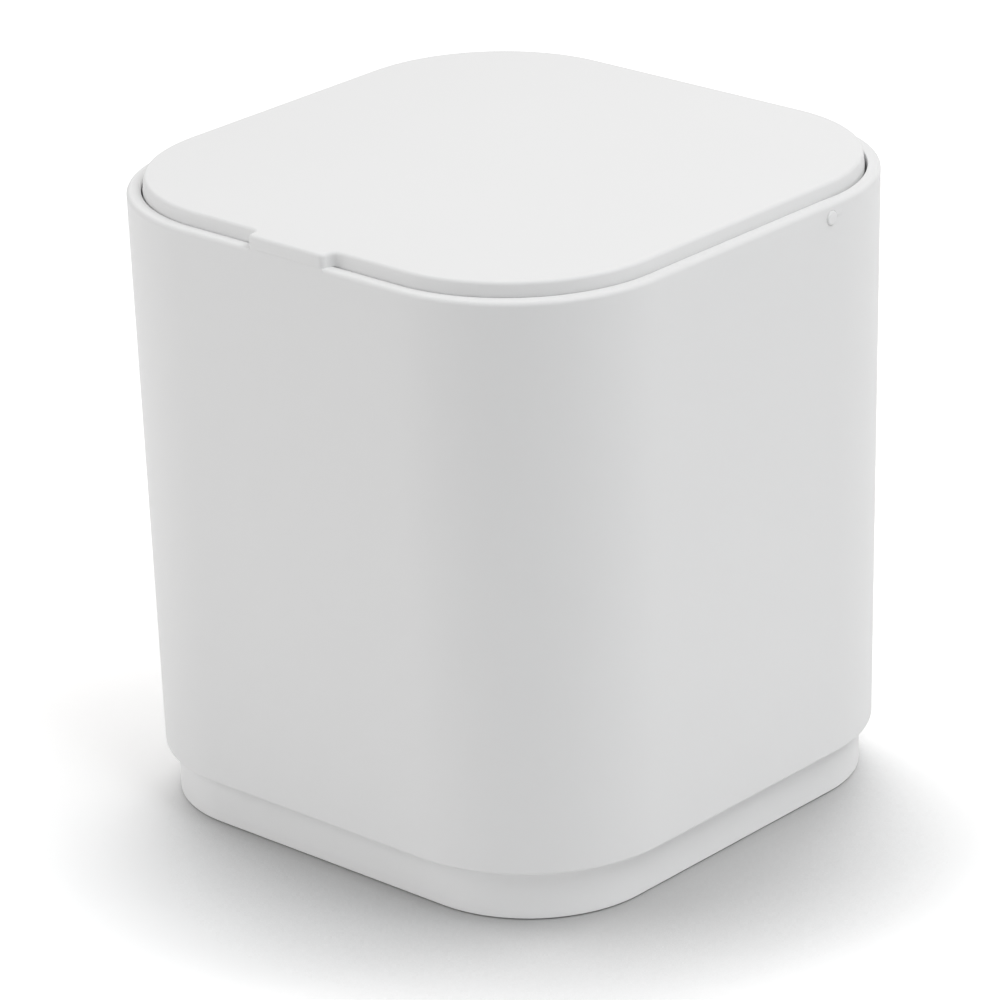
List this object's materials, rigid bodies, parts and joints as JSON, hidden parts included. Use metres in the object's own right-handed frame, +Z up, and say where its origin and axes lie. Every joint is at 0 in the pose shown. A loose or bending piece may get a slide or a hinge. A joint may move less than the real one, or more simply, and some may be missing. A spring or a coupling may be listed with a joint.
{
  "type": "countertop waste bin",
  "caption": "Small square countertop waste bin with round corners: a tapered sleeve lifts off an inner bucket and base, and a lid with a front tab swings up about side pins.",
  "frame": {"origin": "on the counter under the middle of the bin", "axes": "+Z up, -Y towards the front with the lid's tab, +X towards the right-hand side, along the lid's hinge line"},
  "size_m": [0.1608, 0.16, 0.1686],
  "materials": {
    "sleeve_plastic": "fine satin white",
    "base_plastic": "fine satin white",
    "bucket_plastic": "satin off-white",
    "lid_plastic": "fine satin white",
    "pin_plastic": "satin white",
    "foot_rubber": "soft matt grey"
  },
  "bodies": {
    "base": {"base_plinth": "base_plastic", "inner_bucket": "bucket_plastic", "foot_front_left": "foot_rubber", "foot_front_right": "foot_rubber", "foot_rear_left": "foot_rubber", "foot_rear_right": "foot_rubber"},
    "sleeve": {"outer_sleeve": "sleeve_plastic", "hinge_pin_left": "pin_plastic", "hinge_pin_right": "pin_plastic"},
    "lid": {"lid_cover": "lid_plastic"}
  },
  "joints": [
    {"name": "sleeve_lift", "type": "slide", "parent": "base", "child": "sleeve", "axis": [0, 0, 1], "range_m": [0, 0.125]},
    {"name": "lid_hinge", "type": "hinge", "parent": "sleeve", "child": "lid", "pos_m": [0, 0.0313, 0.1612], "axis": [-1, 0, 0], "range_deg": [0, 75]}
  ]
}
